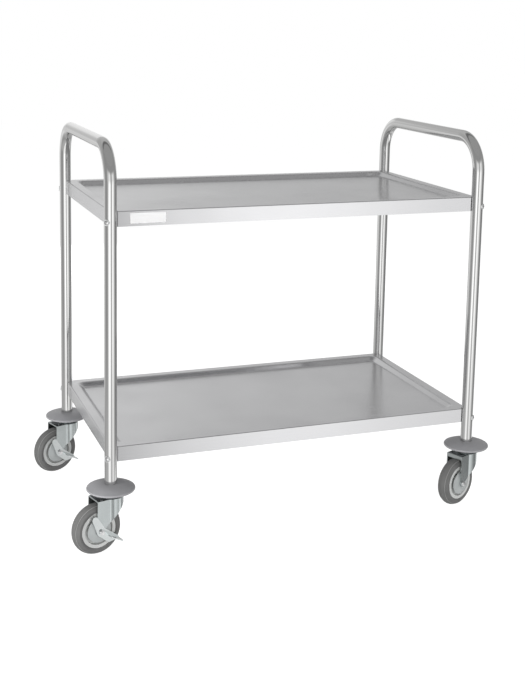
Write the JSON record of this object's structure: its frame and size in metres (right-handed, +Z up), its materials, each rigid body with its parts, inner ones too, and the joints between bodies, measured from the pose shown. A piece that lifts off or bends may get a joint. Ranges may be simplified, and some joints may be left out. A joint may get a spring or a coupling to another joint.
{
  "type": "service cart",
  "caption": "Two-tier stainless service cart: bent tube end frames with push handles, sunk pressed trays, and swivel casters with bumper discs, braked at one end.",
  "frame": {"origin": "on the floor, in the middle of the cart's outermost reach", "axes": "+X from the left handle to the right one, +Y to the back, +Z up"},
  "size_m": [0.931, 0.5496, 0.819],
  "materials": {
    "tube_steel": "polished stainless tube",
    "tray_steel": "satin stainless sheet",
    "fastener_steel": "bright plated steel",
    "caster_zinc": "bright zinc plate",
    "washer_plastic": "moulded, light grey",
    "bumper_plastic": "moulded, mid grey",
    "expander_rubber": "moulded, black",
    "guard_plastic": "moulded, grey",
    "wheel_plastic": "moulded, light grey",
    "tyre_rubber": "non-marking grey rubber"
  },
  "bodies": {
    "cart": {"left_handle_frame": "tube_steel", "right_handle_frame": "tube_steel", "top_tray": "tray_steel", "lower_tray": "tray_steel", "tray_bolts": "fastener_steel", "outer_saddle_washers": "washer_plastic", "inner_saddle_washers": "fastener_steel", "tray_nuts": "fastener_steel", "expander_sleeves": "expander_rubber", "expander_cones": "fastener_steel", "stem_bolts": "fastener_steel", "thrust_washers": "fastener_steel", "upper_races": "caster_zinc", "front_left_bumper": "bumper_plastic", "front_right_bumper": "bumper_plastic", "rear_left_bumper": "bumper_plastic", "rear_right_bumper": "bumper_plastic"},
    "front_left_swivel": {"front_left_bearing_balls": "fastener_steel", "front_left_fork": "caster_zinc", "front_left_axle_bolt": "fastener_steel", "front_left_axle_nut": "fastener_steel", "front_left_axle_bush": "fastener_steel", "front_left_thread_guards": "guard_plastic", "front_left_brake_cam": "fastener_steel"},
    "front_left_wheel": {"front_left_wheel_core": "wheel_plastic", "front_left_tyre": "tyre_rubber"},
    "front_left_brake": {"front_left_brake_lever": "caster_zinc"},
    "front_right_swivel": {"front_right_bearing_balls": "fastener_steel", "front_right_fork": "caster_zinc", "front_right_axle_bolt": "fastener_steel", "front_right_axle_nut": "fastener_steel", "front_right_axle_bush": "fastener_steel", "front_right_thread_guards": "guard_plastic"},
    "front_right_wheel": {"front_right_wheel_core": "wheel_plastic", "front_right_tyre": "tyre_rubber"},
    "rear_left_swivel": {"rear_left_bearing_balls": "fastener_steel", "rear_left_fork": "caster_zinc", "rear_left_axle_bolt": "fastener_steel", "rear_left_axle_nut": "fastener_steel", "rear_left_axle_bush": "fastener_steel", "rear_left_thread_guards": "guard_plastic", "rear_left_brake_cam": "fastener_steel"},
    "rear_left_wheel": {"rear_left_wheel_core": "wheel_plastic", "rear_left_tyre": "tyre_rubber"},
    "rear_left_brake": {"rear_left_brake_lever": "caster_zinc"},
    "rear_right_swivel": {"rear_right_bearing_balls": "fastener_steel", "rear_right_fork": "caster_zinc", "rear_right_axle_bolt": "fastener_steel", "rear_right_axle_nut": "fastener_steel", "rear_right_axle_bush": "fastener_steel", "rear_right_thread_guards": "guard_plastic"},
    "rear_right_wheel": {"rear_right_wheel_core": "wheel_plastic", "rear_right_tyre": "tyre_rubber"}
  },
  "joints": [
    {"name": "front_left_swivel", "type": "hinge", "parent": "cart", "child": "front_left_swivel", "pos_m": [-0.38297, -0.226, 0], "axis": [0, 0, 1], "continuous": true},
    {"name": "front_left_roll", "type": "hinge", "parent": "front_left_swivel", "child": "front_left_wheel", "pos_m": [-0.41485, -0.23454, 0.052], "axis": [0.2588, -0.9659, 0], "continuous": true},
    {"name": "front_left_brake", "type": "hinge", "parent": "front_left_swivel", "child": "front_left_brake", "pos_m": [-0.41485, -0.23454, 0.052], "axis": [-0.2588, 0.9659, 0], "range_deg": [0, 10]},
    {"name": "front_right_swivel", "type": "hinge", "parent": "cart", "child": "front_right_swivel", "pos_m": [0.41703, -0.226, 0], "axis": [0, 0, 1], "continuous": true},
    {"name": "front_right_roll", "type": "hinge", "parent": "front_right_swivel", "child": "front_right_wheel", "pos_m": [0.38665, -0.23889, 0.052], "axis": [0.3907, -0.9205, 0], "continuous": true},
    {"name": "rear_left_swivel", "type": "hinge", "parent": "cart", "child": "rear_left_swivel", "pos_m": [-0.38297, 0.226, 0], "axis": [0, 0, 1], "continuous": true},
    {"name": "rear_left_roll", "type": "hinge", "parent": "rear_left_swivel", "child": "rear_left_wheel", "pos_m": [-0.41417, 0.21526, 0.052], "axis": [0.3256, -0.9455, 0], "continuous": true},
    {"name": "rear_left_brake", "type": "hinge", "parent": "rear_left_swivel", "child": "rear_left_brake", "pos_m": [-0.41417, 0.21526, 0.052], "axis": [-0.3256, 0.9455, 0], "range_deg": [0, 10]},
    {"name": "rear_right_swivel", "type": "hinge", "parent": "cart", "child": "rear_right_swivel", "pos_m": [0.41703, 0.226, 0], "axis": [0, 0, 1], "continuous": true},
    {"name": "rear_right_roll", "type": "hinge", "parent": "rear_right_swivel", "child": "rear_right_wheel", "pos_m": [0.38453, 0.23173, 0.052], "axis": [-0.1736, -0.9848, 0], "continuous": true}
  ]
}
